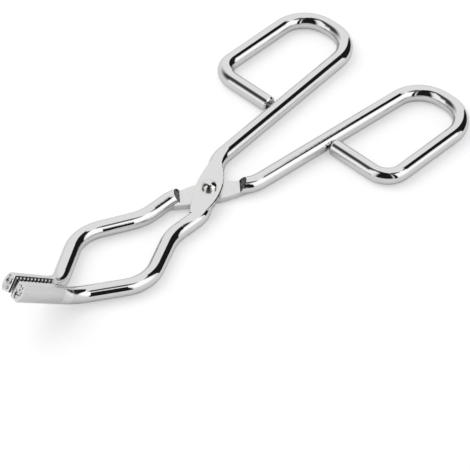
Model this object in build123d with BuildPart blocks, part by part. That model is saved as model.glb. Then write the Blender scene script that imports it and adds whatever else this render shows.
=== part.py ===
from build123d import *
from math import cos, radians, sin, sqrt, tan
import os

# Driving dimensions, in millimetres and degrees.
# Reaches run along X from the pivot axis, handles towards +X and jaws towards -X.
# Sides run along Y from the middle line between the two halves. Both follow the rod's centreline.

# Rod
rod_diameter = 6.0  # plated round steel rod that each half is bent from

# Finger loop and arm
loop_end_reach = 95.4  # far run of the finger loop
loop_rear_reach = 48.5  # rear run, which ends in the rod's cut end
loop_side = 40.8  # outer run, parallel to the middle line
loop_end_radius = 12.0  # bends at the loop's far end
loop_rear_radius = 7.5  # bend at the loop's rear outer corner
loop_end_gap = 0.6  # cut end of the rod to the side of its own arm
cut_end_bevel = 0.5  # bevelled rim of that cut end
arm_splay = 4.6  # angle between the arm and the middle line

# Crank at the pivot
blade_angle = 31.0  # angle between the blade and the middle line
arm_bend_distance = 17.0  # pivot to the bend into the arm, along the blade
bow_bend_distance = 12.6  # pivot to the bend into the bow, along the blade
crank_radius = 12.0  # both of those bends

# Forged blade and half lap
blade_length = 29.0
blade_thickness = 2.4
blade_bow_edge = 4.75  # fullest point of the edge towards the other half's bow
blade_bow_edge_middle = -4.5  # where that point lies along the blade
blade_bow_edge_radius = 62.0
blade_arm_edge = 4.6  # fullest point of the edge towards the other half's arm
blade_arm_edge_middle = 0.9
blade_arm_edge_radius = 31.0
blade_rim_radius = 0.5  # rounded rim of the outer flat
blade_gap = 0.1  # between the two blades
flat_length = 27.0  # pressed outer flat, without its run-outs
flat_runout = 8.0  # length over which the flat rises to the rod's round top
shoulder_angle = 44.0  # square to the shoulders of the half lap
shoulder_to_arm = 11.0  # pivot to the shoulder on the handle side
shoulder_to_bow = 10.2  # pivot to the shoulder on the jaw side
shoulder_run = 2.2  # how far each shoulder leans back over half the rod's height

# Bow that reaches round a crucible
bow_entry_reach = 26.0
bow_entry_radius = 20.0
bow_crest_reach = 47.7
bow_crest_side = 16.7  # corner of the crest, before it is rounded
bow_crest_radius = 15.5

# Jaw
bow_exit_length = 22.8  # crest to the corner where the rod turns up into the jaw, along X
heel_lift = 0.8  # that corner above the rods' middle plane
jaw_rise = 37.4  # angle of the jaw above the bench
jaw_bend_radius = 12.0
upper_jaw_length = 33.2  # from the corner of that bend to the tip
lower_jaw_length = 30.8  # the same on the other half, whose jaw is the shorter one
jaw_round_length = 5.2  # stretch after the corner that is still round
jaw_blend_length = 3.2  # stretch over which the round rod becomes the jaw's section
jaw_tilt = 3.6  # each grip face leans open towards the top
jaw_gap = 2.0  # between the lower edges of the two grip faces, as the tongs lie
grip_setback = 0.45  # grip face behind the rod's inner side
grip_heel_height = 5.8  # flat grip face where the blend ends
grip_tip_height = 6.1
back_heel_height = 6.0  # the jaw's back, at the same two places
back_tip_height = 6.7
back_drop = 0.1  # middle of the back below the rod's centreline
jaw_top_thickness = 2.9
jaw_bottom_thickness = 3.35
jaw_back_crown = 1.0  # bulge of the back beyond its upper and lower edges
jaw_tip_chamfer = 0.5

# Cross grooves of the grip face
tooth_pitch = 2.15
groove_width = 1.8
groove_depth = 0.5
tooth_end_land = 0.8  # plain land at the tip

# Rivet
rivet_diameter = 3.0
rivet_clearance = 0.05  # radial, in the upper blade
rivet_play = 0.05  # between the upper blade and the head
rivet_head_diameter = 5.3
rivet_head_height = 2.2
rivet_head_rim = 0.9  # straight side of the head, under its dome
rivet_tail_diameter = 5.0  # flared tail, flush in the lower blade
rivet_tail_depth = 1.0
rivet_tail_crown = 0.3

# Working values
rod_radius = rod_diameter / 2
blade_outer = blade_gap / 2 + blade_thickness
cut_margin = 2 * rod_diameter


def along_blade(distance: float) -> Vector:
    """A point on the upper blade's centreline, at a distance from the pivot axis."""
    return Vector(distance * cos(radians(blade_angle)), distance * sin(radians(blade_angle)))


# Plan of the upper half, drawn in the rods' middle plane with the pivot axis at the origin
arm_bend = along_blade(arm_bend_distance)
bow_bend = along_blade(-bow_bend_distance)


def arm_side(reach: float) -> float:
    """How far the arm's centreline is from the middle line at a reach from the pivot."""
    return arm_bend.Y + (reach - arm_bend.X) * tan(radians(arm_splay))


arm_half_width = rod_radius / cos(radians(arm_splay))
free_end_side = arm_side(loop_rear_reach + rod_radius) + arm_half_width + loop_end_gap

# The jaw's own directions, and the plane across it at the corner of its bend:
# X runs from the grip face to the back, Y up the grip face and Z to the tip.
jaw_direction = Vector(-cos(radians(jaw_rise)), 0, sin(radians(jaw_rise)))
jaw_up = Vector(sin(radians(jaw_rise)), 0, cos(radians(jaw_rise)))
jaw_outward = Vector(0, -cos(radians(jaw_tilt)), 0) - jaw_up * sin(radians(jaw_tilt))
grip_middle_side = jaw_gap / 2 + grip_tip_height / 2 * sin(radians(jaw_tilt))
grip_offset = rod_radius - grip_setback  # rod's centreline to the grip face
heel_reach = bow_crest_reach + bow_exit_length
heel_side = grip_middle_side + grip_offset * cos(radians(jaw_tilt))
jaw_heel = Vector(-heel_reach, -heel_side, heel_lift)
jaw_plane = Plane(jaw_heel - jaw_outward * grip_offset, x_dir=jaw_outward, z_dir=jaw_direction)


def round_section(distance: float) -> Sketch:
    """The round rod's section across the jaw, in four arcs that match the four sides of the jaw."""
    corner = rod_radius * sin(radians(45))
    near, far = grip_offset - corner, grip_offset + corner
    with BuildSketch(jaw_plane.offset(distance)) as section:
        with BuildLine():
            ThreePointArc((near, -corner), (grip_offset - rod_radius, 0), (near, corner))
            ThreePointArc((near, corner), (grip_offset, rod_radius), (far, corner))
            ThreePointArc((far, corner), (grip_offset + rod_radius, 0), (far, -corner))
            ThreePointArc((far, -corner), (grip_offset, -rod_radius), (near, -corner))
        make_face()
    return section.sketch


def jaw_section(distance: float, grip_height: float, back_height: float) -> Sketch:
    """The jaw's section: flat grip face, flat top and bottom, and a rounded back."""
    top = grip_height / 2
    top_back = Vector(jaw_top_thickness, back_height / 2 - back_drop)
    bottom_back = Vector(jaw_bottom_thickness, -back_height / 2 - back_drop)
    back_middle = (top_back + bottom_back) / 2 + Vector(jaw_back_crown, 0)
    with BuildSketch(jaw_plane.offset(distance)) as section:
        with BuildLine():
            Line((0, -top), (0, top))
            Line((0, top), top_back)
            ThreePointArc(top_back, back_middle, bottom_back)
            Line(bottom_back, (0, -top))
        make_face()
    return section.sketch


def bend_rod(jaw_length: float) -> Part:
    """The upper half's rod, from the loop's cut end to the jaw's tip, without its forged blade."""
    with BuildPart() as bent_rod:
        with BuildLine() as route:
            FilletPolyline(
                (loop_rear_reach, free_end_side, 0),
                (loop_rear_reach, loop_side, 0),
                (loop_end_reach, loop_side, 0),
                (loop_end_reach, arm_side(loop_end_reach), 0),
                arm_bend,
                bow_bend,
                (-bow_entry_reach, bow_bend.Y, 0),
                (-bow_crest_reach, -bow_crest_side, 0),
                jaw_heel,
                jaw_heel + jaw_direction * jaw_round_length,
                radius=[
                    loop_rear_radius,
                    loop_end_radius,
                    loop_end_radius,
                    crank_radius,
                    crank_radius,
                    bow_entry_radius,
                    bow_crest_radius,
                    jaw_bend_radius,
                ],
            )
        with BuildSketch(Plane(route.line @ 0, z_dir=route.line % 0)):
            Circle(rod_radius)
        sweep()
        cut_end = bent_rod.faces().sort_by_distance(route.line @ 0)[0]
        chamfer(cut_end.edges(), cut_end_bevel)

        blend_end = jaw_round_length + jaw_blend_length
        grip_heel = jaw_section(blend_end, grip_heel_height, back_heel_height)
        grip_tip = jaw_section(jaw_length, grip_tip_height, back_tip_height)
        loft([round_section(jaw_round_length), grip_heel])
        loft([grip_heel, grip_tip])
        tip_face = bent_rod.faces().sort_by_distance(jaw_plane.origin + jaw_direction * jaw_length)[0]
        chamfer(tip_face.edges(), jaw_tip_chamfer)

        # V grooves across the grip face
        tooth_count = int((jaw_length - blend_end - tooth_end_land) / tooth_pitch)
        with BuildSketch(Plane(jaw_plane.origin, x_dir=jaw_direction, z_dir=jaw_plane.y_dir)):
            for tooth in range(tooth_count):
                groove_centre = jaw_length - tooth_end_land - (tooth + 0.5) * tooth_pitch
                with BuildLine():
                    Polyline(
                        (groove_centre - groove_width / 2, -cut_margin),
                        (groove_centre - groove_width / 2, 0),
                        (groove_centre, groove_depth),
                        (groove_centre + groove_width / 2, 0),
                        (groove_centre + groove_width / 2, -cut_margin),
                        close=True,
                    )
                make_face()
        extrude(amount=cut_margin, both=True, mode=Mode.SUBTRACT)
    return bent_rod.part


def blade_edge(direction: int, fullest: float, middle: float, radius: float) -> list[tuple[float, float]]:
    """Three points of a blade's curved edge, along and across the blade: direction is +1 or -1 across."""
    stations = (-blade_length / 2, 0, blade_length / 2)
    return [(at, direction * (fullest - radius + sqrt(radius**2 - (at - middle) ** 2))) for at in stations]


def forge_blade(half: int) -> None:
    """The lens-shaped blade of the upper half (+1) or the lower half (-1)."""
    blade_turn = radians(half * blade_angle)
    blade_plane = Plane((0, 0, half * blade_gap / 2), x_dir=(cos(blade_turn), sin(blade_turn), 0))
    bow_edge = blade_edge(half, blade_bow_edge, blade_bow_edge_middle, blade_bow_edge_radius)
    arm_edge = blade_edge(-half, blade_arm_edge, blade_arm_edge_middle, blade_arm_edge_radius)
    with BuildSketch(blade_plane) as lens:
        with BuildLine():
            ThreePointArc(*bow_edge)
            ThreePointArc(*arm_edge)
            Line(bow_edge[0], arm_edge[0])
            Line(bow_edge[-1], arm_edge[-1])
        make_face()
    blade = extrude(lens.sketch, amount=half * blade_thickness)
    outer_face = blade.faces().sort_by(Axis.Z)[-1 if half > 0 else 0]
    fillet(outer_face.edges(), blade_rim_radius)


def cut_lap(half: int) -> None:
    """Cuts the half lap that the other blade crosses, and presses the blade's outer flat."""
    lap_turn = radians(half * shoulder_angle)
    across_shoulders = Vector(cos(lap_turn), sin(lap_turn))
    lap_plane = Plane((0, 0, 0), x_dir=across_shoulders, z_dir=across_shoulders.cross(Vector(0, 0, 1)))
    with BuildSketch(lap_plane) as lap:
        with BuildLine():
            Polyline(
                (-shoulder_to_bow, half * blade_gap / 2),
                (shoulder_to_arm, half * blade_gap / 2),
                (shoulder_to_arm + shoulder_run, -half * rod_radius),
                (shoulder_to_arm + shoulder_run, -half * cut_margin),
                (-shoulder_to_bow - shoulder_run, -half * cut_margin),
                (-shoulder_to_bow - shoulder_run, -half * rod_radius),
                close=True,
            )
        make_face()
    extrude(lap.sketch, amount=cut_margin, both=True, mode=Mode.SUBTRACT)

    blade_turn = radians(half * blade_angle)
    along = Vector(cos(blade_turn), sin(blade_turn))
    press_plane = Plane((0, 0, 0), x_dir=along, z_dir=along.cross(Vector(0, 0, 1)))
    flat_end, run_end = flat_length / 2, flat_length / 2 + flat_runout
    with BuildSketch(press_plane) as press:
        with BuildLine():
            Line((-flat_end, half * blade_outer), (flat_end, half * blade_outer))
            TangentArc((flat_end, half * blade_outer), (run_end, half * rod_radius), tangent=(1, 0))
            Polyline(
                (run_end, half * rod_radius),
                (run_end, half * cut_margin),
                (-run_end, half * cut_margin),
                (-run_end, half * rod_radius),
            )
            TangentArc((-flat_end, half * blade_outer), (-run_end, half * rod_radius), tangent=(-1, 0))
        make_face()
    extrude(press.sketch, amount=cut_margin, both=True, mode=Mode.SUBTRACT)


# Upper half, whose blade lies on top and turns on the rivet
with BuildPart() as upper_half:
    forge_blade(1)
    add(bend_rod(upper_jaw_length))
    cut_lap(1)
    with Locations((0, 0, blade_outer)):
        Hole(rivet_diameter / 2 + rivet_clearance)

# Lower half, bent the other way with its blade below, which holds the rivet's flared tail
with BuildPart() as lower_half:
    forge_blade(-1)
    add(mirror(bend_rod(lower_jaw_length), about=Plane.XZ))
    cut_lap(-1)
    with BuildSketch(Plane.XZ):
        with BuildLine():
            Polyline(
                (0, blade_outer),
                (rivet_diameter / 2, blade_outer),
                (rivet_diameter / 2, rivet_tail_depth - blade_outer),
                (rivet_tail_diameter / 2, -blade_outer),
                (rivet_tail_diameter / 2, -cut_margin),
                (0, -cut_margin),
                close=True,
            )
        make_face()
    revolve(axis=Axis.Z, mode=Mode.SUBTRACT)

# Rivet: domed button head, shank and flared tail with a low crown
with BuildPart() as pivot_rivet:
    head_seat = blade_outer + rivet_play
    head_top = head_seat + rivet_head_height
    rim_top = head_seat + rivet_head_rim
    head_radius = rivet_head_diameter / 2
    shank_radius = rivet_diameter / 2
    tail_radius = rivet_tail_diameter / 2
    with BuildSketch(Plane.XZ):
        with BuildLine():
            TangentArc((0, head_top), (head_radius, rim_top), tangent=(1, 0))
            Polyline(
                (head_radius, rim_top),
                (head_radius, head_seat),
                (shank_radius, head_seat),
                (shank_radius, rivet_tail_depth - blade_outer),
                (tail_radius, -blade_outer),
            )
            TangentArc((0, -blade_outer - rivet_tail_crown), (tail_radius, -blade_outer), tangent=(1, 0))
            Line((0, -blade_outer - rivet_tail_crown), (0, head_top))
        make_face()
    revolve(axis=Axis.Z)

# The tongs lie on a bench at Z = 0, with the middle of their length over the origin
pieces = {"upper_half": upper_half, "lower_half": lower_half, "pivot_rivet": pivot_rivet}
reach = upper_half.part.bounding_box()
to_bench = Location((-(reach.min.X + reach.max.X) / 2, 0, rod_radius))
os.makedirs("parts", exist_ok=True)
for name, piece in pieces.items():
    piece.part.locate(to_bench)
    piece.part.label = name
    export_step(piece.part, f"parts/{name}.step")
print("pivot axis at", to_bench.position, "size", reach.size)
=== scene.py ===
"""Crucible tongs bent from plated rod: finishes, serrations, cut ends and a small photo studio.

Two halves of round rod are forged flat where they cross, and turn on a domed rivet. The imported
model gives their shapes. This script plates them, adds the crests of the serrated jaws and the
rough faces where the rod was cut, and sets the tongs on a pale bench under a light tent.
"""
import logging
from dataclasses import dataclass, field, replace
from enum import Enum
from math import cos, radians, sin, sqrt

import bpy
from mathutils import Matrix, Vector


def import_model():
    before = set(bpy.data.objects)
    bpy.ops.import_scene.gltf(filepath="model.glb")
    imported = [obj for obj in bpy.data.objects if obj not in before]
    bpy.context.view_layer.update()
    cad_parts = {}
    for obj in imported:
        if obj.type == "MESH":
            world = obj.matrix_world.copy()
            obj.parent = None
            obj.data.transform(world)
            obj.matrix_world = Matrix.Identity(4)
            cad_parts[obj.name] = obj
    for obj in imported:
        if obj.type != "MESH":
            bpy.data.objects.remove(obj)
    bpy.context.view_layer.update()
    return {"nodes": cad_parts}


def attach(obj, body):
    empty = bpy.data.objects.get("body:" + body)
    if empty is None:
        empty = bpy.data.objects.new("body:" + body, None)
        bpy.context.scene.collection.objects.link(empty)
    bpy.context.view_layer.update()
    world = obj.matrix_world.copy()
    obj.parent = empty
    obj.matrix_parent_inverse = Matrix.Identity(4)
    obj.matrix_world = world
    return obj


LOG = logging.getLogger("crucible_tongs")
MM = 0.001

Vec3 = tuple[float, float, float]
Colour = tuple[float, float, float, float]


def grey(level: float) -> Colour:
    """An opaque neutral colour at a linear level."""
    return (level, level, level, 1.0)


class Side(Enum):
    """The two halves. The value is the sign of Y on the handle side."""

    UPPER = 1
    LOWER = -1

    @property
    def body(self) -> str:
        """Name of the half's body and of its CAD node."""
        return f"{self.name.lower()}_half"

    @property
    def jaw_length(self) -> float:
        """Length of the half's jaw from the corner of its bend, in millimetres."""
        return 33.2 if self is Side.UPPER else 30.8

    def mirror(self, point: Vec3 | Vector) -> Vector:
        """A point or direction of the upper half, carried over to this half."""
        return Vector((point[0], point[1] * self.value, point[2]))


class NodeGraph:
    """A thin writer for one node tree, for shaders and for geometry."""

    def __init__(self, tree: bpy.types.NodeTree) -> None:
        """Start on a tree, emptied of its default nodes."""
        self.tree = tree
        self.tree.nodes.clear()

    def add(self, kind: str, **settings: object) -> bpy.types.Node:
        """Add a node.

        Args:
            kind: Identifier of the node type.
            **settings: Properties of the node, by name.

        Returns:
            The new node.
        """
        node = self.tree.nodes.new(kind)
        for name, value in settings.items():
            setattr(node, name, value)
        return node

    def feed(self, socket: bpy.types.NodeSocket, source: object) -> None:
        """Link a source socket to an input, or set the input's own value."""
        if isinstance(source, bpy.types.NodeSocket):
            self.tree.links.new(source, socket)
        else:
            socket.default_value = source

    def math(self, operation: str, *inputs: object) -> bpy.types.NodeSocket:
        """A Math node.

        Args:
            operation: Name of the operation.
            *inputs: A socket or a number for each input.

        Returns:
            The node's value socket.
        """
        node = self.add("ShaderNodeMath", operation=operation)
        for socket, source in zip(node.inputs, inputs):
            self.feed(socket, source)
        return node.outputs[0]

    def vector(self, operation: str, *inputs: object) -> bpy.types.Node:
        """A Vector Math node, fed in order."""
        node = self.add("ShaderNodeVectorMath", operation=operation)
        for socket, source in zip(node.inputs, inputs):
            self.feed(socket, source)
        return node

    def dot(self, first: object, second: object) -> bpy.types.NodeSocket:
        """Dot product of two vectors."""
        return self.vector("DOT_PRODUCT", first, second).outputs["Value"]

    def window(self, value: object, low: object, high: object) -> bpy.types.NodeSocket:
        """A smooth step that rises from 0 at low to 1 at high."""
        node = self.add("ShaderNodeMapRange", interpolation_type="SMOOTHSTEP")
        for name, source in (("Value", value), ("From Min", low), ("From Max", high)):
            self.feed(node.inputs[name], source)
        return node.outputs["Result"]

    def span(self, value: object, ends: tuple[float, float]) -> bpy.types.NodeSocket:
        """A smooth step of a value in metres, between two ends in millimetres."""
        return self.window(value, ends[0] * MM, ends[1] * MM)

    def blend(self, factor: object, first: object, second: object) -> bpy.types.NodeSocket:
        """Mix two colours, from first at factor 0 to second at factor 1."""
        node = self.add("ShaderNodeMix", data_type="RGBA")
        for index, source in ((0, factor), (6, first), (7, second)):
            self.feed(node.inputs[index], source)
        return node.outputs[2]

    def lerp(self, factor: object, first: object, second: object) -> bpy.types.NodeSocket:
        """Mix two numbers, from first at factor 0 to second at factor 1."""
        node = self.add("ShaderNodeMix", data_type="FLOAT")
        for index, source in ((0, factor), (2, first), (3, second)):
            self.feed(node.inputs[index], source)
        return node.outputs[0]

    def noise(self, vector: object, scale: object, detail: float = 2.0) -> bpy.types.NodeSocket:
        """A noise value over a vector, at a scale in cells per metre."""
        node = self.add("ShaderNodeTexNoise")
        self.feed(node.inputs["Vector"], vector)
        self.feed(node.inputs["Scale"], scale)
        self.feed(node.inputs["Detail"], detail)
        return node.outputs[0]

    def group(self, tree: bpy.types.NodeTree, **inputs: object) -> bpy.types.Node:
        """Place a node group, with its inputs by name (underscores stand for spaces)."""
        kind = "ShaderNodeGroup" if tree.bl_idname == "ShaderNodeTree" else "GeometryNodeGroup"
        node = self.add(kind, node_tree=tree)
        for name, source in inputs.items():
            self.feed(node.inputs[name.replace("_", " ").title()], source)
        return node


class MetalGraph(NodeGraph):
    """The node graph of one metal material, with the object's own coordinates at hand."""

    def __init__(self, name: str) -> None:
        """Make the material and its coordinates."""
        self.material = bpy.data.materials.new(name)
        self.material.use_nodes = True
        super().__init__(self.material.node_tree)
        coords = self.add("ShaderNodeTexCoord")
        self.position = coords.outputs["Object"]
        self.normal = coords.outputs["Normal"]

    def bump(
        self, height: object, strength: object, distance: float, under: bpy.types.NodeSocket | None = None
    ) -> bpy.types.NodeSocket:
        """Add a bump over the surface's normal.

        Args:
            height: The relief, as a socket.
            strength: How strongly it shows.
            distance: Depth of the relief, in millimetres.
            under: The normal that it is laid over, if not the surface's own.

        Returns:
            The new normal.
        """
        node = self.add("ShaderNodeBump")
        node.inputs["Distance"].default_value = distance * MM
        self.feed(node.inputs["Strength"], strength)
        self.feed(node.inputs["Height"], height)
        if under is not None:
            self.feed(node.inputs["Normal"], under)
        return node.outputs["Normal"]

    def finish(self, colour: object, roughness: object, normal: object) -> bpy.types.Material:
        """Join colour, roughness and normal in a metal shader.

        Returns:
            The finished material.
        """
        shader = self.add("ShaderNodeBsdfPrincipled")
        shader.inputs["Metallic"].default_value = 1.0
        self.feed(shader.inputs["Base Color"], colour)
        self.feed(shader.inputs["Roughness"], roughness)
        self.feed(shader.inputs["Normal"], normal)
        output = self.add("ShaderNodeOutputMaterial")
        self.feed(output.inputs["Surface"], shader.outputs["BSDF"])
        return self.material


@dataclass(frozen=True)
class Port:
    """One named socket of a node group."""

    name: str
    kind: str = "Float"
    value: object = None

    def expose(self, tree: bpy.types.NodeTree, in_out: str) -> None:
        """Add this socket to a group's interface, as an INPUT or OUTPUT."""
        socket = tree.interface.new_socket(self.name, in_out=in_out, socket_type=f"NodeSocket{self.kind}")
        if self.value is not None:
            socket.default_value = self.value


def new_group(name: str, kind: str, inputs: list[Port], outputs: list[Port]) -> tuple[NodeGraph, dict, dict]:
    """Make an empty node group.

    Args:
        name: The group's name.
        kind: ShaderNodeTree or GeometryNodeTree.
        inputs: Its input sockets.
        outputs: Its output sockets.

    Returns:
        The graph to write in, the sockets that bring its inputs, and the sockets that take its results.
    """
    tree = bpy.data.node_groups.new(name, kind)
    for port in inputs:
        port.expose(tree, "INPUT")
    for port in outputs:
        port.expose(tree, "OUTPUT")
    graph = NodeGraph(tree)
    given = graph.add("NodeGroupInput").outputs
    result = graph.add("NodeGroupOutput").inputs
    return graph, {p.name: given[p.name] for p in inputs}, {p.name: result[p.name] for p in outputs}


class SharedEffects:
    """Shader groups that several finishes use. Each is built once. Scales are in cells per metre."""

    PATCH_CORE = 0.92  # share of a patch's radius within which its mask is full
    PATCH_TURN = 0.03  # how softly the mask ends as the surface turns away
    BRUSH_STRETCH = 0.985  # share of the distance along the marks that is squeezed out
    COARSE_BRUSHING = 0.22  # scale of the coarse marks, over that of the fine ones
    FINE_SHARE = 0.6
    SWELL_SCALE = 110.0
    PEEL_SCALE = 900.0
    SWELL_SHARE = 0.8
    CLOUD_SCALE = 160.0
    SPECK_SCALE = 2600.0
    CLOUD_SHARE = 0.7
    LUMP_SCALE = 900.0
    GRAIN_SCALE = 1500.0
    GRAIN_SHARE = 0.25

    def __init__(self) -> None:
        """Build every group."""
        self.patch = self._patch()
        self.brushing = self._brushing()
        self.ripple = self._ripple()
        self.haze = self._haze()
        self.mottled_grain_and_shade = self._mottled_grain_and_shade()

    def _patch(self) -> bpy.types.NodeTree:
        """Mask of the surfaces near a centre that face along a direction."""
        graph, given, result = new_group(
            "facing_patch",
            "ShaderNodeTree",
            [
                Port("Position", "Vector"),
                Port("Normal", "Vector"),
                Port("Centre", "Vector"),
                Port("Radius"),
                Port("Facing", "Vector"),
                Port("Limit", value=0.9),
            ],
            [Port("Mask")],
        )
        distance = graph.vector("DISTANCE", given["Position"], given["Centre"]).outputs["Value"]
        inner = graph.math("MULTIPLY", given["Radius"], self.PATCH_CORE)
        near = graph.math("SUBTRACT", 1.0, graph.window(distance, inner, given["Radius"]))
        turned = graph.dot(given["Normal"], given["Facing"])
        full = graph.math("ADD", given["Limit"], self.PATCH_TURN)
        facing = graph.window(turned, given["Limit"], full)
        graph.feed(result["Mask"], graph.math("MULTIPLY", near, facing))
        return graph.tree

    def _brushing(self) -> bpy.types.NodeTree:
        """Fine parallel scratches along a direction."""
        graph, given, result = new_group(
            "brush_marks",
            "ShaderNodeTree",
            [Port("Position", "Vector"), Port("Along", "Vector"), Port("Scale", value=9000.0)],
            [Port("Streaks"), Port("Height")],
        )
        reach = graph.dot(given["Position"], given["Along"])
        pull = graph.vector("SCALE", given["Along"])
        graph.feed(pull.inputs["Scale"], graph.math("MULTIPLY", reach, -self.BRUSH_STRETCH))
        drawn_out = graph.vector("ADD", given["Position"], pull.outputs[0]).outputs[0]
        fine = graph.noise(drawn_out, given["Scale"], 3.0)
        coarse_scale = graph.math("MULTIPLY", given["Scale"], self.COARSE_BRUSHING)
        coarse = graph.noise(drawn_out, coarse_scale, 2.0)
        streaks = graph.lerp(self.FINE_SHARE, coarse, fine)
        graph.feed(result["Streaks"], graph.window(streaks, 0.3, 0.7))
        graph.feed(result["Height"], streaks)
        return graph.tree

    def _ripple(self) -> bpy.types.NodeTree:
        """The gentle waviness of bent and plated rod."""
        graph, given, result = new_group(
            "plating_ripple",
            "ShaderNodeTree",
            [Port("Position", "Vector")],
            [Port("Height")],
        )
        swell = graph.noise(given["Position"], self.SWELL_SCALE, 1.0)
        peel = graph.noise(given["Position"], self.PEEL_SCALE, 2.0)
        graph.feed(result["Height"], graph.lerp(self.SWELL_SHARE, peel, swell))
        return graph.tree

    def _haze(self) -> bpy.types.NodeTree:
        """Uneven polish from handling: a roughness between two levels."""
        graph, given, result = new_group(
            "handling_haze",
            "ShaderNodeTree",
            [Port("Position", "Vector"), Port("Clean", value=0.03), Port("Hazed", value=0.1)],
            [Port("Roughness"), Port("Amount")],
        )
        cloud = graph.window(graph.noise(given["Position"], self.CLOUD_SCALE, 4.0), 0.42, 0.72)
        specks = graph.window(graph.noise(given["Position"], self.SPECK_SCALE, 2.0), 0.62, 0.74)
        amount = graph.lerp(self.CLOUD_SHARE, specks, cloud)
        graph.feed(result["Amount"], amount)
        graph.feed(result["Roughness"], graph.lerp(amount, given["Clean"], given["Hazed"]))
        return graph.tree

    def _mottled_grain_and_shade(self) -> bpy.types.NodeTree:
        """Mottled, broken grain of a sheared metal face. It also mottles the painted shade on the lap's
        shoulders.
        """
        graph, given, result = new_group(
            "mottled_grain_and_shade",
            "ShaderNodeTree",
            [Port("Position", "Vector"), Port("Dark", "Color"), Port("Light", "Color")],
            [Port("Color", "Color"), Port("Height")],
        )
        lumps = graph.noise(given["Position"], self.LUMP_SCALE, 4.0)
        cells = graph.add("ShaderNodeTexVoronoi", feature="F1")
        graph.feed(cells.inputs["Vector"], given["Position"])
        graph.feed(cells.inputs["Scale"], self.GRAIN_SCALE)
        broken = graph.math("MULTIPLY", cells.outputs["Distance"], self.GRAIN_SHARE)
        mottling = graph.math("ADD", lumps, broken)
        share = graph.window(mottling, 0.5, 0.72)
        graph.feed(result["Color"], graph.blend(share, given["Dark"], given["Light"]))
        graph.feed(result["Height"], mottling)
        return graph.tree


@dataclass(frozen=True)
class TongShape:
    """The few places of the tongs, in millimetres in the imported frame, that finishes refer to.

    Points and directions are those of the upper half. The lower half has them mirrored in Y.
    """

    pivot: Vec3 = (0.298, 0.0, 3.0)

    # Blade and half lap
    blade_turn: float = 31.0
    blade_satin: tuple[float, float] = (16.0, 21.0)  # from the pivot, where satin turns to bright rod
    blade_level: tuple[float, float] = (0.95, 0.985)  # upright part of a flat's normal, from rod to flat
    shoulder_turn: float = 44.0
    shoulder_lean: float = 0.585
    shoulder_radius: float = 5.5
    shoulder_limit: float = 0.95
    shoulders: tuple[Vec3, Vec3] = ((-9.71, -5.69, 1.73), (10.80, 6.31, 1.75))

    # Finger loop
    loop_end: Vec3 = (48.798, 15.337, 3.0)

    # Jaw: spans run along it from the corner of its bend, or straight in from its grip face
    jaw_corner: Vec3 = (-70.105, -1.192, 3.927)
    jaw_middle_depth: float = 2.18
    jaw_rise: float = 37.4
    jaw_tilt: float = 3.6
    jaw_forging: tuple[float, float] = (-0.5, 7.0)
    grip_edge: tuple[float, float] = (0.7, 1.0)
    # Painted shade in the grooves: its depths behind the grip face, and where it starts along the jaw
    groove_darkening: tuple[float, float] = (0.06, 0.34)
    groove_floor: tuple[float, float] = (0.5, 0.56)
    groove_start: tuple[float, float] = (8.0, 9.0)

    @property
    def jaw_direction(self) -> Vector:
        """Unit vector from the heel of the jaw to its tip."""
        return Vector((-cos(radians(self.jaw_rise)), 0.0, sin(radians(self.jaw_rise))))

    @property
    def jaw_up(self) -> Vector:
        """Unit vector up the jaw, square to its length and level with the other jaw."""
        return Vector((sin(radians(self.jaw_rise)), 0.0, cos(radians(self.jaw_rise))))

    @property
    def grip_normal(self) -> Vector:
        """Unit vector out of the upper half's grip face, towards the other jaw."""
        tilt = radians(self.jaw_tilt)
        return Vector((0.0, cos(tilt), 0.0)) + self.jaw_up * sin(tilt)

    @property
    def blade_direction(self) -> Vec3:
        """Unit vector along the blade, towards the handles."""
        return (cos(radians(self.blade_turn)), sin(radians(self.blade_turn)), 0.0)


SHAPE = TongShape()


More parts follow.
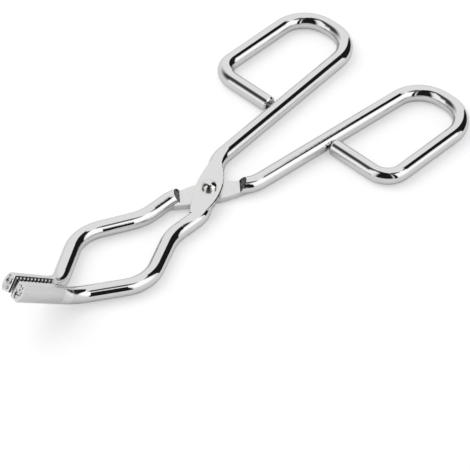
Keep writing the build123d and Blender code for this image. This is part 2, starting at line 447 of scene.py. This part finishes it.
@dataclass(frozen=True)
class PlatedRodFinish:
    """Bright plating on bent rod, with satin flats and jaws, and painted shade on the lap's shoulders and in
    the grooves.
    """

    effects: SharedEffects
    side: Side
    plating: Colour = (0.93, 0.93, 0.925, 1.0)
    satin: Colour = (0.97, 0.97, 0.965, 1.0)
    satin_worn: Colour = grey(0.84)
    worn_share: float = 0.3
    # Painted shade on the shoulders' step faces, mottled between these two levels
    shoulder_shade_dark: Colour = grey(0.03)
    shoulder_shade_light: Colour = grey(0.3)
    # Painted shade in the jaw's grooves
    groove_painted_shade: Colour = grey(0.006)
    clean_roughness: float = 0.025
    hazed_roughness: float = 0.07
    satin_roughness: float = 0.22
    streak_roughness: float = 0.08
    dark_roughness: float = 0.5
    blade_brushing: float = 7000.0
    jaw_brushing: float = 5000.0
    ripple_strength: float = 0.35
    ripple_depth: float = 0.08
    brush_strength: float = 0.06
    brush_depth: float = 0.02

    def build(self) -> bpy.types.Material:
        """Build the material of one half.

        Returns:
            The new material.
        """
        graph = MetalGraph(f"plated_rod_{self.side.name.lower()}")
        flats = self._flats(graph)
        shoulders = self._shoulders(graph)
        depth, reach = self._jaw_axes(graph)
        jaw = self._jaw(graph, depth, reach)
        grooves = self._groove_painted_shade(graph, depth, reach)
        satin = graph.math("MAXIMUM", flats, jaw)

        along = self.side.mirror(SHAPE.blade_direction)
        brushing = graph.group(
            self.effects.brushing,
            position=graph.position,
            along=Vector((-along.y, along.x, 0.0)),
            scale=self.blade_brushing,
        )
        jaw_brushing = graph.group(
            self.effects.brushing,
            position=graph.position,
            along=SHAPE.jaw_direction,
            scale=self.jaw_brushing,
        )
        ripple = graph.group(self.effects.ripple, position=graph.position)
        haze = graph.group(
            self.effects.haze,
            position=graph.position,
            clean=self.clean_roughness,
            hazed=self.hazed_roughness,
        )
        # Mottling of the painted shade on the shoulders
        mottled = graph.group(
            self.effects.mottled_grain_and_shade,
            position=graph.position,
            dark=self.shoulder_shade_dark,
            light=self.shoulder_shade_light,
        )

        streaks = graph.lerp(jaw, brushing.outputs["Streaks"], jaw_brushing.outputs["Streaks"])
        worn = graph.blend(graph.math("MULTIPLY", streaks, self.worn_share), self.satin, self.satin_worn)
        colour = graph.blend(satin, self.plating, worn)
        # Painted shade: the shoulders' step faces go near black, mottled
        colour = graph.blend(shoulders, colour, mottled.outputs["Color"])
        # Painted shade: the grooves go near black, darker the deeper they are
        colour = graph.blend(grooves, colour, self.groove_painted_shade)

        streaked = graph.math("MULTIPLY", streaks, self.streak_roughness)
        satin_rough = graph.math("ADD", streaked, self.satin_roughness)
        roughness = graph.lerp(satin, haze.outputs["Roughness"], satin_rough)
        roughness = graph.lerp(graph.math("MAXIMUM", shoulders, grooves), roughness, self.dark_roughness)

        waves = graph.bump(ripple.outputs["Height"], self.ripple_strength, self.ripple_depth)
        strength = graph.math("MULTIPLY", satin, self.brush_strength)
        marks = graph.bump(brushing.outputs["Height"], strength, self.brush_depth, waves)
        return graph.finish(colour, roughness, marks)

    @staticmethod
    def _flats(graph: MetalGraph) -> bpy.types.NodeSocket:
        """Mask of the blade's two flats: level faces near the pivot, below the rod's round top."""
        split = graph.add("ShaderNodeSeparateXYZ")
        graph.feed(split.inputs[0], graph.normal)
        level = graph.window(graph.math("ABSOLUTE", split.outputs["Z"]), *SHAPE.blade_level)
        pivot = Vector(SHAPE.pivot) * MM
        distance = graph.vector("DISTANCE", graph.position, pivot).outputs["Value"]
        near = graph.math("SUBTRACT", 1.0, graph.span(distance, SHAPE.blade_satin))
        return graph.math("MULTIPLY", level, near)

    def _shoulders(self, graph: MetalGraph) -> bpy.types.NodeSocket:
        """Mask of the two step faces of the half lap, where shade is painted."""
        lean = SHAPE.shoulder_lean * self.side.value
        level = sqrt(1.0 - SHAPE.shoulder_lean**2)
        turn = radians(SHAPE.shoulder_turn * self.side.value)
        masks = []
        for centre, sign in zip(SHAPE.shoulders, (1.0, -1.0)):
            place = self.side.mirror(centre)
            place.z = SHAPE.pivot[2] + (place.z - SHAPE.pivot[2]) * self.side.value
            facing = Vector((sign * level * cos(turn), sign * level * sin(turn), -lean))
            patch = graph.group(
                self.effects.patch,
                position=graph.position,
                normal=graph.normal,
                centre=place * MM,
                radius=SHAPE.shoulder_radius * MM,
                facing=facing,
                limit=SHAPE.shoulder_limit,
            )
            masks.append(patch.outputs["Mask"])
        return graph.math("MAXIMUM", *masks)

    @staticmethod
    def _jaw(
        graph: MetalGraph, depth: bpy.types.NodeSocket, along: bpy.types.NodeSocket
    ) -> bpy.types.NodeSocket:
        """Mask of the forged back, top and underside of the jaw, rising over its heel."""
        rising = graph.span(along, SHAPE.jaw_forging)
        behind = graph.span(depth, SHAPE.grip_edge)
        return graph.math("MULTIPLY", rising, behind)

    @staticmethod
    def _groove_painted_shade(
        graph: MetalGraph, depth: bpy.types.NodeSocket, along: bpy.types.NodeSocket
    ) -> bpy.types.NodeSocket:
        """Mask of the painted shade in the V grooves, darker the deeper they are."""
        sunk = graph.span(depth, SHAPE.groove_darkening)
        shallow = graph.math("SUBTRACT", 1.0, graph.span(depth, SHAPE.groove_floor))
        on_jaw = graph.span(along, SHAPE.groove_start)
        return graph.math("MULTIPLY", graph.math("MULTIPLY", sunk, shallow), on_jaw)

    def _jaw_axes(self, graph: MetalGraph) -> tuple[bpy.types.NodeSocket, bpy.types.NodeSocket]:
        """Depth behind the grip face and distance along the jaw, in metres, at a position."""
        corner = self.side.mirror(SHAPE.jaw_corner) * MM
        offset = graph.vector("SUBTRACT", graph.position, corner).outputs[0]
        depth = graph.dot(offset, self.side.mirror(SHAPE.grip_normal) * -1.0)
        return depth, graph.dot(offset, SHAPE.jaw_direction)


@dataclass(frozen=True)
class PolishedFinish:
    """Bright polished plating, for the rivet and the crests of the serrations."""

    effects: SharedEffects
    name: str
    colour: Colour = (0.93, 0.93, 0.92, 1.0)
    hazed_colour: Colour = grey(0.78)
    clean: float = 0.04
    hazed: float = 0.12
    ripple_strength: float = 0.4
    ripple_depth: float = 0.05

    def build(self) -> bpy.types.Material:
        """Build the material.

        Returns:
            The new material.
        """
        graph = MetalGraph(self.name)
        haze = graph.group(self.effects.haze, position=graph.position, clean=self.clean, hazed=self.hazed)
        ripple = graph.group(self.effects.ripple, position=graph.position)
        tint = graph.blend(haze.outputs["Amount"], self.colour, self.hazed_colour)
        waves = graph.bump(ripple.outputs["Height"], self.ripple_strength, self.ripple_depth)
        return graph.finish(tint, haze.outputs["Roughness"], waves)


@dataclass(frozen=True)
class ShearedFinish:
    """The torn, mottled metal of a cut rod end."""

    effects: SharedEffects
    name: str = "sheared_end"
    dark: Colour = grey(0.012)
    light: Colour = grey(0.97)
    clean: float = 0.15
    hazed: float = 0.35
    grain_strength: float = 0.8
    grain_depth: float = 0.1

    def build(self) -> bpy.types.Material:
        """Build the material.

        Returns:
            The new material.
        """
        graph = MetalGraph(self.name)
        mottled = graph.group(
            self.effects.mottled_grain_and_shade, position=graph.position, dark=self.dark, light=self.light
        )
        haze = graph.group(self.effects.haze, position=graph.position, clean=self.clean, hazed=self.hazed)
        relief = graph.bump(mottled.outputs["Height"], self.grain_strength, self.grain_depth)
        return graph.finish(mottled.outputs["Color"], haze.outputs["Roughness"], relief)


class GeometryTool:
    """A Geometry Nodes tree that makes plain meshes on demand."""

    def __init__(self, tree: bpy.types.NodeTree) -> None:
        """Keep the tree and the identifiers of its inputs by name."""
        self.tree = tree
        items = [i for i in tree.interface.items_tree if i.item_type == "SOCKET" and i.in_out == "INPUT"]
        self.sockets = {item.name: item.identifier for item in items}

    def make(self, name: str, place: Matrix, **inputs: object) -> bpy.types.Object:
        """Run the tree and keep its result as a plain mesh object at the origin.

        Args:
            name: Name of the new piece.
            place: Where the tree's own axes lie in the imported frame.
            **inputs: The tree's inputs by name (underscores stand for spaces).

        Returns:
            The new object, with its place in its mesh and no modifier.
        """
        carrier = bpy.data.objects.new(f"{name}_carrier", bpy.data.meshes.new(f"{name}_carrier"))
        bpy.context.scene.collection.objects.link(carrier)
        modifier = carrier.modifiers.new("shape", "NODES")
        modifier.node_group = self.tree
        for key, value in inputs.items():
            modifier[self.sockets[key.replace("_", " ").title()]] = value
        depsgraph = bpy.context.evaluated_depsgraph_get()
        mesh = bpy.data.meshes.new_from_object(carrier.evaluated_get(depsgraph), depsgraph=depsgraph)
        bpy.data.objects.remove(carrier)
        mesh.name = name
        mesh.transform(place)
        piece = bpy.data.objects.new(name, mesh)
        bpy.context.scene.collection.objects.link(piece)
        return piece


def dress(
    graph: NodeGraph, geometry: bpy.types.NodeSocket, material: bpy.types.NodeSocket
) -> bpy.types.NodeSocket:
    """Make geometry real, shade it smooth and give it a material.

    Args:
        graph: The geometry graph to write in.
        geometry: The geometry, which may hold instances.
        material: The material.

    Returns:
        The finished geometry.
    """
    real = graph.add("GeometryNodeRealizeInstances")
    graph.feed(real.inputs["Geometry"], geometry)
    smooth = graph.add("GeometryNodeSetShadeSmooth")
    graph.feed(smooth.inputs["Geometry"], real.outputs["Geometry"])
    dressed = graph.add("GeometryNodeSetMaterial")
    graph.feed(dressed.inputs["Geometry"], smooth.outputs["Geometry"])
    graph.feed(dressed.inputs["Material"], material)
    return dressed.outputs["Geometry"]


def serration_tree() -> bpy.types.NodeTree:
    """Geometry Nodes tree of a row of rounded tooth crests.

    The row runs along Z and the crests lie along Y. X points out of the grip face.

    Returns:
        The new node tree.
    """
    graph, given, result = new_group(
        "serration_crests",
        "GeometryNodeTree",
        [
            Port("Count", "Int", 11),
            Port("First"),
            Port("Pitch"),
            Port("Crest Width"),
            Port("Crest Height"),
            Port("Heel Length"),
            Port("Tip Length"),
            Port("Wander"),
            Port("Seed", "Int", 1),
            Port("Material", "Material"),
        ],
        [Port("Geometry", "Geometry")],
    )
    rod = graph.add("GeometryNodeMeshCylinder", fill_type="NGON")
    for name, value in (("Vertices", 16), ("Side Segments", 6), ("Radius", 1.0), ("Depth", 1.0)):
        graph.feed(rod.inputs[name], value)
    laid = graph.add("GeometryNodeTransform")
    graph.feed(laid.inputs["Geometry"], rod.outputs["Mesh"])
    graph.feed(laid.inputs["Rotation"], (radians(90.0), 0.0, 0.0))

    line = graph.add("GeometryNodeMeshLine", mode="OFFSET")
    graph.feed(line.inputs["Count"], given["Count"])
    start = graph.add("ShaderNodeCombineXYZ")
    graph.feed(start.inputs["Z"], given["First"])
    graph.feed(line.inputs["Start Location"], start.outputs[0])
    step = graph.add("ShaderNodeCombineXYZ")
    graph.feed(step.inputs["Z"], graph.math("MULTIPLY", given["Pitch"], -1.0))
    graph.feed(line.inputs["Offset"], step.outputs[0])

    wander = graph.add("FunctionNodeRandomValue", data_type="FLOAT")
    graph.feed(wander.inputs[2], graph.math("MULTIPLY", given["Wander"], -1.0))
    graph.feed(wander.inputs[3], given["Wander"])
    graph.feed(wander.inputs["Seed"], given["Seed"])
    shift = graph.add("ShaderNodeCombineXYZ")
    graph.feed(shift.inputs["Z"], wander.outputs[1])
    strayed = graph.add("GeometryNodeSetPosition")
    graph.feed(strayed.inputs["Geometry"], line.outputs["Mesh"])
    graph.feed(strayed.inputs["Offset"], shift.outputs[0])

    index = graph.add("GeometryNodeInputIndex")
    last = graph.math("SUBTRACT", given["Count"], 1)
    share = graph.math("DIVIDE", index.outputs[0], last)
    scale = graph.add("ShaderNodeCombineXYZ")
    graph.feed(scale.inputs["X"], given["Crest Height"])
    graph.feed(scale.inputs["Y"], graph.lerp(share, given["Tip Length"], given["Heel Length"]))
    graph.feed(scale.inputs["Z"], graph.math("MULTIPLY", given["Crest Width"], 0.5))

    crests = graph.add("GeometryNodeInstanceOnPoints")
    graph.feed(crests.inputs["Points"], strayed.outputs["Geometry"])
    graph.feed(crests.inputs["Instance"], laid.outputs["Geometry"])
    graph.feed(crests.inputs["Scale"], scale.outputs[0])
    graph.feed(result["Geometry"], dress(graph, crests.outputs["Instances"], given["Material"]))
    return graph.tree


def cut_face_tree() -> bpy.types.NodeTree:
    """Geometry Nodes tree of one rough, slightly domed face of cut metal, facing Z.

    Returns:
        The new node tree.
    """
    graph, given, result = new_group(
        "cut_face",
        "GeometryNodeTree",
        [
            Port("Half Width"),
            Port("Half Height"),
            Port("Squareness", value=0.0),
            Port("Dome"),
            Port("Roughness"),
            Port("Grain"),
            Port("Seed"),
            Port("Material", "Material"),
        ],
        [Port("Geometry", "Geometry")],
    )
    disc = graph.add("GeometryNodeMeshCircle", fill_type="TRIANGLE_FAN")
    graph.feed(disc.inputs["Vertices"], 32)
    graph.feed(disc.inputs["Radius"], 1.0)
    fine = graph.add("GeometryNodeSubdivideMesh")
    graph.feed(fine.inputs["Mesh"], disc.outputs["Mesh"])
    graph.feed(fine.inputs["Level"], 4)

    place = graph.add("GeometryNodeInputPosition").outputs[0]
    split = graph.add("ShaderNodeSeparateXYZ")
    graph.feed(split.inputs[0], place)
    radius = graph.vector("LENGTH", place).outputs["Value"]
    aside = graph.math("ABSOLUTE", split.outputs["X"])
    widest = graph.math("MAXIMUM", aside, graph.math("ABSOLUTE", split.outputs["Y"]))
    square = graph.math("DIVIDE", radius, graph.math("MAXIMUM", widest, 0.0001))
    stretch = graph.lerp(given["Squareness"], 1.0, square)
    inside = graph.math("SUBTRACT", 1.0, graph.math("POWER", radius, 4.0))
    rough = graph.add("ShaderNodeTexNoise", noise_dimensions="4D")
    graph.feed(rough.inputs["Vector"], place)
    graph.feed(rough.inputs["W"], given["Seed"])
    graph.feed(rough.inputs["Scale"], given["Grain"])
    graph.feed(rough.inputs["Detail"], 3.0)
    lumps = graph.math("MULTIPLY", graph.math("SUBTRACT", rough.outputs[0], 0.5), given["Roughness"])
    crown = graph.math("SUBTRACT", 1.0, graph.math("POWER", radius, 2.0))
    dome = graph.math("MULTIPLY", crown, given["Dome"])
    height = graph.math("MULTIPLY", graph.math("ADD", lumps, dome), inside)
    moved = graph.add("ShaderNodeCombineXYZ")
    across = graph.math("MULTIPLY", split.outputs["X"], given["Half Width"])
    graph.feed(moved.inputs["X"], graph.math("MULTIPLY", across, stretch))
    upward = graph.math("MULTIPLY", split.outputs["Y"], given["Half Height"])
    graph.feed(moved.inputs["Y"], graph.math("MULTIPLY", upward, stretch))
    graph.feed(moved.inputs["Z"], height)
    mottled = graph.add("GeometryNodeSetPosition")
    graph.feed(mottled.inputs["Geometry"], fine.outputs["Mesh"])
    graph.feed(mottled.inputs["Position"], moved.outputs[0])
    graph.feed(result["Geometry"], dress(graph, mottled.outputs["Geometry"], given["Material"]))
    return graph.tree


@dataclass
class TongHalf:
    """One bent half: its plating, the crests of its serrated jaw and its two cut ends. Sizes in mm."""

    side: Side
    effects: SharedEffects
    node: bpy.types.Object
    crests: GeometryTool
    cut_faces: GeometryTool
    crest_material: bpy.types.Material
    cut_material: bpy.types.Material
    tooth_pitch: float = 2.15
    tip_land: float = 0.8
    blend_end: float = 8.4
    crest_width: float = 0.8
    crest_height: float = 0.16
    crest_wander: float = 0.03
    crest_seed: int = 3
    heel_length: float = 5.5
    tip_length: float = 5.8
    loop_cut_radius: float = 2.5
    loop_cut_seed: float = 1.0
    tip_cut_half_width: float = 1.3
    tip_cut_half_height: float = 2.6
    tip_cut_squareness: float = 0.6
    tip_cut_seed: float = 5.0
    cut_dome: float = 0.05
    cut_relief: float = 0.5
    cut_grain: float = 3.0
    pieces: list[bpy.types.Object] = field(default_factory=list)

    def build(self) -> list[bpy.types.Object]:
        """Dress the CAD node and make the half's own pieces.

        Returns:
            The new pieces.
        """
        finish = PlatedRodFinish(self.effects, self.side).build()
        self.node.data.materials.clear()
        self.node.data.materials.append(finish)
        self.pieces.append(self._serrations())
        self.pieces.extend(self._cut_ends())
        for piece in self.pieces:
            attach(piece, self.side.body)
            LOG.info("%s rides on %s", piece.name, self.side.body)
        return self.pieces

    @staticmethod
    def _row_frame(origin: Vector, out: Vector, along: Vector) -> Matrix:
        """Axes with X out of a face and Z along a run, at an origin in metres."""
        up = along.cross(out).normalized()
        return Matrix.Translation(origin) @ Matrix((out, up, along)).transposed().to_4x4()

    def _serrations(self) -> bpy.types.Object:
        """The row of tooth crests on the jaw's grip face."""
        out = self.side.mirror(SHAPE.grip_normal)
        origin = self.side.mirror(SHAPE.jaw_corner) * MM
        grooves = int((self.side.jaw_length - self.blend_end - self.tip_land) / self.tooth_pitch)
        return self.crests.make(
            f"{self.side.name.lower()}_serrations",
            self._row_frame(origin, out, SHAPE.jaw_direction),
            count=grooves + 1,
            first=(self.side.jaw_length - self.tip_land) * MM,
            pitch=self.tooth_pitch * MM,
            crest_width=self.crest_width * MM,
            crest_height=self.crest_height * MM,
            heel_length=self.heel_length * MM,
            tip_length=self.tip_length * MM,
            wander=self.crest_wander * MM,
            seed=self.crest_seed + self.side.value,
            material=self.crest_material,
        )

    def _cut_ends(self) -> list[bpy.types.Object]:
        """The rough faces at the end of the finger loop and at the jaw's tip."""
        loop_out = self.side.mirror((0.0, -1.0, 0.0))
        loop_end = self.side.mirror(SHAPE.loop_end)
        inward = self.side.mirror(SHAPE.grip_normal)
        tip = self.side.mirror(SHAPE.jaw_corner) + SHAPE.jaw_direction * self.side.jaw_length
        tip_middle = tip - inward * SHAPE.jaw_middle_depth
        return [
            self._cut_face(
                "loop_cut",
                self._face_frame(loop_end * MM, loop_out),
                self.loop_cut_radius,
                self.loop_cut_radius,
                0.0,
                self.loop_cut_seed,
            ),
            self._cut_face(
                "tip_cut",
                self._face_frame(tip_middle * MM, SHAPE.jaw_direction),
                self.tip_cut_half_width,
                self.tip_cut_half_height,
                self.tip_cut_squareness,
                self.tip_cut_seed,
            ),
        ]

    def _cut_face(
        self, name: str, place: Matrix, half_width: float, half_height: float, squareness: float, seed: float
    ) -> bpy.types.Object:
        """Make one rough face of cut metal.

        Args:
            name: Which end it closes.
            place: Its axes, with Z out of the metal.
            half_width: Half its level width.
            half_height: Half its height.
            squareness: 0 for round, 1 for square.
            seed: Start of its random relief, which differs between the halves.

        Returns:
            The new piece.
        """
        return self.cut_faces.make(
            f"{self.side.name.lower()}_{name}",
            place,
            half_width=half_width * MM,
            half_height=half_height * MM,
            squareness=squareness,
            dome=self.cut_dome * MM,
            roughness=self.cut_relief * MM,
            grain=self.cut_grain,
            seed=seed + self.side.value,
            material=self.cut_material,
        )

    @staticmethod
    def _face_frame(origin: Vector, out: Vector) -> Matrix:
        """Axes with Z out of a face, X level and Y up it, at an origin in metres."""
        level = Vector((0.0, 1.0, 0.0)) if abs(out.y) < 0.5 else Vector((1.0, 0.0, 0.0))
        up = out.cross(level).normalized()
        return Matrix.Translation(origin) @ Matrix((level, up, out)).transposed().to_4x4()


@dataclass(frozen=True)
class Card:
    """A card or window of the light tent, seen only as a reflection. Angles in degrees."""

    azimuth: float
    elevation: float
    half_width: float
    half_height: float
    softness: float
    level: float


@dataclass
class Studio:
    """A pale bench in a light tent, with black cards that give plated rod its dark lines.

    The bench and the lamp are in metres and watts.
    """

    bench_half: float = 3.0
    bench_drop: float = 0.0001
    bench_colour: Colour = grey(0.8)
    bench_fleck: Colour = grey(0.81)
    bench_fibre: float = 1400.0
    bench_lift: float = 0.4
    lamp_place: Vec3 = (-0.35, 0.75, 1.1)
    lamp_size: float = 1.3
    lamp_power: float = 6.5

    # Light tent: how bright it is above and below the horizon in reflections, and to diffuse light
    tent: float = 0.77
    ground: float = 0.63
    horizon: tuple[float, float] = (-0.1, 0.15)
    fill: float = 0.6

    # White window and the black cards round it, in degrees
    window: Card = Card(21.0, 38.0, 24.0, 23.0, 4.0, 1.05)
    card_black: float = 0.01
    card_edge: float = 1.5
    strip_half_width: float = 5.5  # upright strip to the left of the window
    strip_half_height: float = 32.0
    strip_gap: float = 3.0
    strip_drop: float = 8.0
    flag_half_width: float = 24.0  # broad card to its right
    flag_half_height: float = 31.0
    flag_gap: float = 7.0
    flag_drop: float = 12.0
    lintel: Card = Card(4.0, 0.0, 35.0, 10.0, 5.0, 0.1)  # grey card over the window
    lintel_overlap: float = 3.0

    # Black cards on the camera's side, one over the other, and shades behind
    camera_flag: Card = Card(-54.0, 41.0, 32.0, 36.0, 14.0, 0.01)
    camera_lintel: Card = Card(-65.0, 0.0, 57.0, 10.0, 6.0, 0.01)
    rear_shade: Card = Card(-146.0, 58.0, 30.0, 43.0, 45.0, 0.04)
    rear_strip: Card = Card(-111.0, 42.0, 13.0, 33.0, 10.0, 0.9)

    def build(self) -> None:
        """Lay the bench, hang the lamp and write the tent into the world."""
        self._bench()
        self._lamp()
        self._world()

    def _cards(self) -> list[Card]:
        """The window and every card in the tent, each over the ones before it."""
        window, flag = self.window, self.camera_flag
        window_top = window.elevation + window.half_height
        strip = Card(
            window.azimuth - window.half_width - self.strip_gap - self.strip_half_width,
            window.elevation - self.strip_drop,
            self.strip_half_width,
            self.strip_half_height,
            self.card_edge,
            self.card_black,
        )
        right_flag = Card(
            window.azimuth + window.half_width + self.flag_gap + self.flag_half_width,
            window.elevation - self.flag_drop,
            self.flag_half_width,
            self.flag_half_height,
            self.card_edge,
            self.card_black,
        )
        lintel = replace(
            self.lintel, elevation=window_top + self.lintel.half_height - self.lintel_overlap
        )
        camera_lintel = replace(self.camera_lintel, elevation=flag.elevation + flag.half_height)
        return [
            self.rear_shade,
            self.rear_strip,
            window,
            flag,
            strip,
            right_flag,
            lintel,
            camera_lintel,
        ]

    def _bench(self) -> None:
        """The pale floor, which is white to the camera and keeps the shadows."""
        size = self.bench_half
        mesh = bpy.data.meshes.new("bench")
        corners = [(-size, -size), (size, -size), (size, size), (-size, size)]
        mesh.from_pydata([(x, y, -self.bench_drop) for x, y in corners], [], [(0, 1, 2, 3)])
        bench = bpy.data.objects.new("bench", mesh)
        bpy.context.scene.collection.objects.link(bench)
        material = bpy.data.materials.new("bench_paper")
        material.use_nodes = True
        graph = NodeGraph(material.node_tree)
        position = graph.add("ShaderNodeTexCoord").outputs["Object"]
        fibre = graph.noise(position, self.bench_fibre, 3.0)
        colour = graph.blend(fibre, self.bench_colour, self.bench_fleck)
        diffuse = graph.add("ShaderNodeBsdfDiffuse")
        graph.feed(diffuse.inputs["Color"], colour)
        lift = graph.add("ShaderNodeEmission")
        ray = graph.add("ShaderNodeLightPath")
        seen = graph.math("MULTIPLY", ray.outputs["Is Camera Ray"], self.bench_lift)
        graph.feed(lift.inputs["Strength"], seen)
        both = graph.add("ShaderNodeAddShader")
        graph.feed(both.inputs[0], diffuse.outputs[0])
        graph.feed(both.inputs[1], lift.outputs[0])
        output = graph.add("ShaderNodeOutputMaterial")
        graph.feed(output.inputs["Surface"], both.outputs[0])
        bench.data.materials.append(material)

    def _lamp(self) -> None:
        """Hang a square soft lamp that looks at the origin and isn't mirrored."""
        place = Vector(self.lamp_place)
        data = bpy.data.lights.new("key_softbox", "AREA")
        data.size = self.lamp_size
        data.energy = self.lamp_power
        lamp = bpy.data.objects.new("key_softbox", data)
        lamp.location = place
        lamp.rotation_euler = place.to_track_quat("Z", "Y").to_euler()
        lamp.visible_glossy = False
        bpy.context.scene.collection.objects.link(lamp)

    def _world(self) -> None:
        """Write the tent: white to the camera, even fill for diffuse light, cards for reflections."""
        world = bpy.data.worlds.new("light_tent")
        bpy.context.scene.world = world
        world.use_nodes = True
        graph = NodeGraph(world.node_tree)
        card_group = self._card_group()
        direction = graph.add("ShaderNodeTexCoord").outputs["Generated"]
        split = graph.add("ShaderNodeSeparateXYZ")
        graph.feed(split.inputs[0], direction)
        above = graph.window(split.outputs["Z"], *self.horizon)
        level = graph.lerp(above, self.ground, self.tent)
        for card in self._cards():
            mask = graph.group(
                card_group,
                direction=direction,
                azimuth=radians(card.azimuth),
                elevation=radians(card.elevation),
                half_width=radians(card.half_width),
                half_height=radians(card.half_height),
                softness=radians(card.softness),
            )
            level = graph.lerp(mask.outputs["Mask"], level, card.level)
        ray = graph.add("ShaderNodeLightPath")
        level = graph.lerp(ray.outputs["Is Glossy Ray"], self.fill, level)
        level = graph.lerp(ray.outputs["Is Camera Ray"], level, 1.0)
        background = graph.add("ShaderNodeBackground")
        background.inputs["Color"].default_value = grey(1.0)
        graph.feed(background.inputs["Strength"], level)
        output = graph.add("ShaderNodeOutputWorld")
        graph.feed(output.inputs["Surface"], background.outputs[0])

    @staticmethod
    def _card_group() -> bpy.types.NodeTree:
        """Shader group: mask of the directions that fall on a card with soft edges."""
        graph, given, result = new_group(
            "tent_card",
            "ShaderNodeTree",
            [
                Port("Direction", "Vector"),
                Port("Azimuth"),
                Port("Elevation"),
                Port("Half Width"),
                Port("Half Height"),
                Port("Softness"),
            ],
            [Port("Mask")],
        )
        split = graph.add("ShaderNodeSeparateXYZ")
        graph.feed(split.inputs[0], given["Direction"])
        flipped = graph.math("MULTIPLY", split.outputs["Y"], -1.0)
        azimuth = graph.math("ARCTAN2", split.outputs["X"], flipped)
        turn = graph.math("SUBTRACT", azimuth, given["Azimuth"])
        wrapped = graph.math("ARCTAN2", graph.math("SINE", turn), graph.math("COSINE", turn))
        elevation = graph.math("ARCSINE", split.outputs["Z"])
        rise = graph.math("SUBTRACT", elevation, given["Elevation"])
        masks = []
        for offset, half in ((wrapped, given["Half Width"]), (rise, given["Half Height"])):
            reach = graph.math("SUBTRACT", graph.math("ABSOLUTE", offset), half)
            low = graph.math("MULTIPLY", given["Softness"], -0.5)
            high = graph.math("MULTIPLY", given["Softness"], 0.5)
            masks.append(graph.math("SUBTRACT", 1.0, graph.window(reach, low, high)))
        graph.feed(result["Mask"], graph.math("MULTIPLY", *masks))
        return graph.tree


@dataclass(frozen=True)
class PhotoCamera:
    """The camera at the photograph's angle. Lengths in millimetres, angles in degrees."""

    target: Vec3 = (-9.155, -21.109, 3.0)
    distance: float = 1267.54
    azimuth: float = -50.262
    elevation: float = 43.930
    roll: float = 4.071
    lens: float = 282.9
    sensor: float = 36.0
    far_clip: float = 20000.0

    def build(self) -> None:
        """Place the camera and make it the scene's own."""
        turn, rise, roll = radians(self.azimuth), radians(self.elevation), radians(self.roll)
        back = Vector((sin(turn) * cos(rise), -cos(turn) * cos(rise), sin(rise)))
        level = Vector((0.0, 0.0, 1.0)).cross(back).normalized()
        upright = back.cross(level)
        right = level * cos(roll) + upright * sin(roll)
        up = back.cross(right)
        data = bpy.data.cameras.new("photo_camera")
        data.sensor_fit = "HORIZONTAL"
        data.sensor_width = self.sensor
        data.lens = self.lens
        data.clip_end = self.far_clip * MM
        camera = bpy.data.objects.new("photo_camera", data)
        place = (Vector(self.target) + back * self.distance) * MM
        camera.matrix_world = Matrix.Translation(place) @ Matrix((right, up, back)).transposed().to_4x4()
        bpy.context.scene.collection.objects.link(camera)
        bpy.context.scene.camera = camera


def main() -> None:
    """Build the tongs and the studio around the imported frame."""
    logging.basicConfig(level=logging.INFO, format="%(name)s: %(message)s")
    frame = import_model()
    PhotoCamera().build()
    Studio().build()
    effects = SharedEffects()
    crest_material = PolishedFinish(effects, "serration_crest", clean=0.08, hazed=0.2).build()
    cut_material = ShearedFinish(effects).build()
    crests = GeometryTool(serration_tree())
    cut_faces = GeometryTool(cut_face_tree())
    for side in Side:
        node = frame["nodes"][side.body]
        half = TongHalf(side, effects, node, crests, cut_faces, crest_material, cut_material)
        LOG.info("%s dressed with %d pieces", side.body, len(half.build()))
    rivet = frame["nodes"]["pivot_rivet"]
    rivet.data.materials.clear()
    rivet.data.materials.append(PolishedFinish(effects, "rivet_head", clean=0.1, hazed=0.22).build())
    LOG.info("pivot_rivet dressed")
    bpy.context.scene.view_settings.view_transform = "Standard"


if __name__ == "__main__":
    main()
